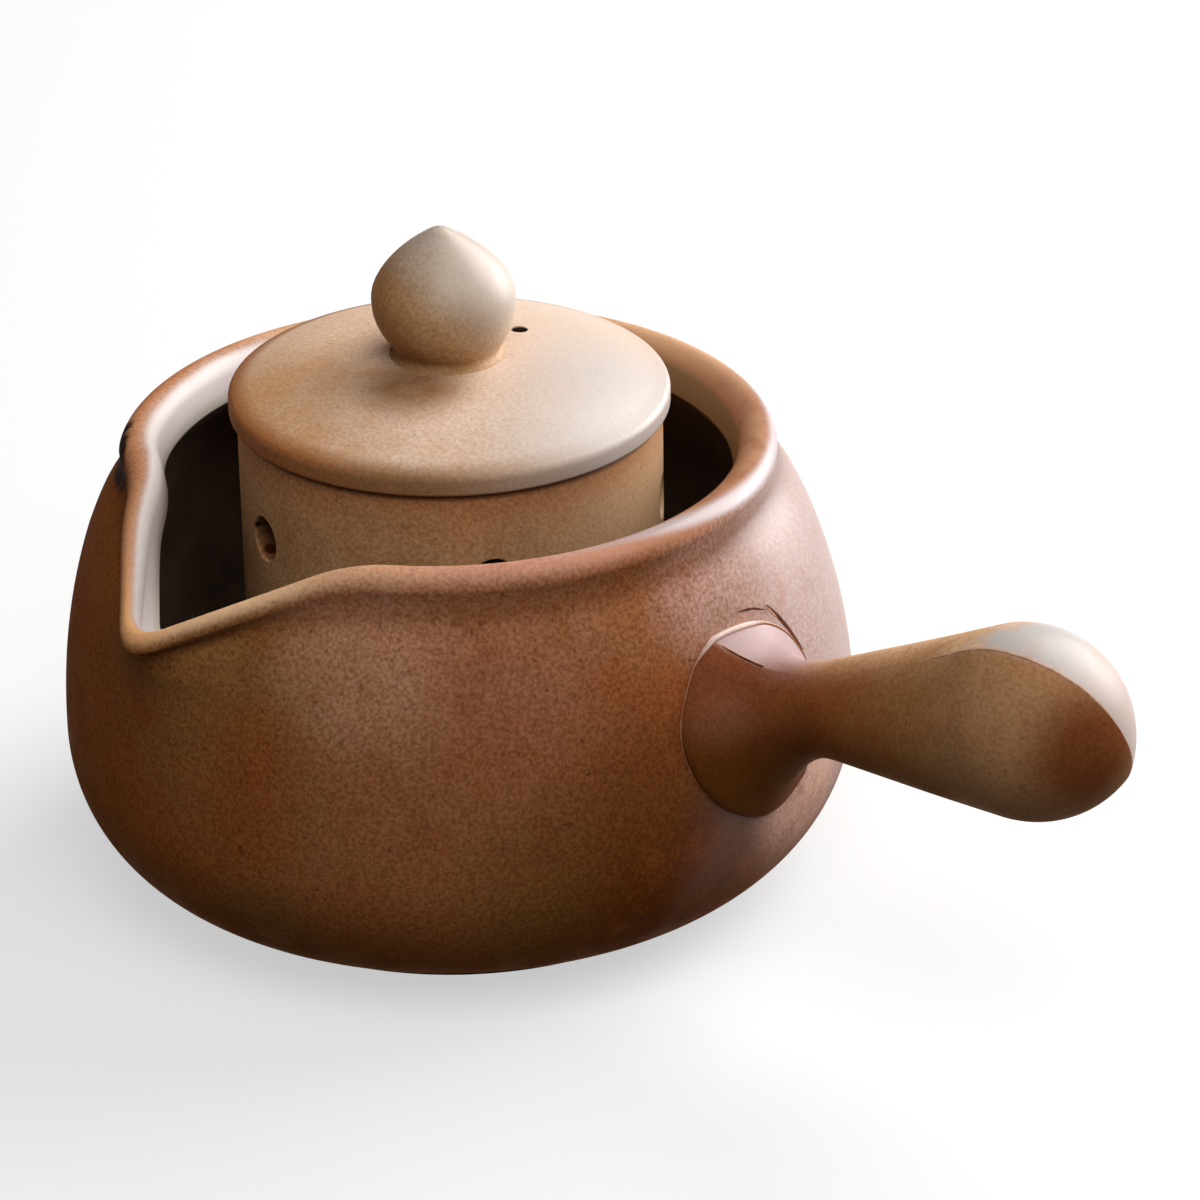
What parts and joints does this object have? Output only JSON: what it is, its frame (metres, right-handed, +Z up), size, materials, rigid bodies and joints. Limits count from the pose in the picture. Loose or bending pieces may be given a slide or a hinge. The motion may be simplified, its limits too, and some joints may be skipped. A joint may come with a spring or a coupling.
{
  "type": "side-handle teapot",
  "caption": "Squat stoneware teapot: an open bowl with a rolled rim and a pulled pouring lip, a thick side handle, a perforated infuser cup inside and a lift-off lid with a pointed knob.",
  "frame": {"origin": "centre of the foot ring's standing face, on the ground", "axes": "+Z up along the bowl's axis, +X along the side handle as seen from above; the pouring lip points close to -Y"},
  "size_m": [0.2127, 0.1428, 0.1215],
  "materials": {
    "clay_brown": "satin matte, mottled red-brown stoneware with fine dark speckle",
    "clay_foot": "matte bare clay",
    "clay_cream": "satin matte, cream-beige stoneware with orange flashing"
  },
  "bodies": {
    "pot": {"bowl": "clay_brown", "foot_ring": "clay_foot", "side_handle": "clay_brown"},
    "cup": {"infuser": "clay_cream"},
    "cover": {"lid": "clay_cream", "knob": "clay_cream"}
  },
  "joints": [
    {"name": "cup_lift", "type": "slide", "parent": "pot", "child": "cup", "axis": [0, 0, 1], "range_m": [0, 0.1]},
    {"name": "lid_lift", "type": "slide", "parent": "cup", "child": "cover", "axis": [0, 0, 1], "range_m": [0, 0.06]}
  ]
}
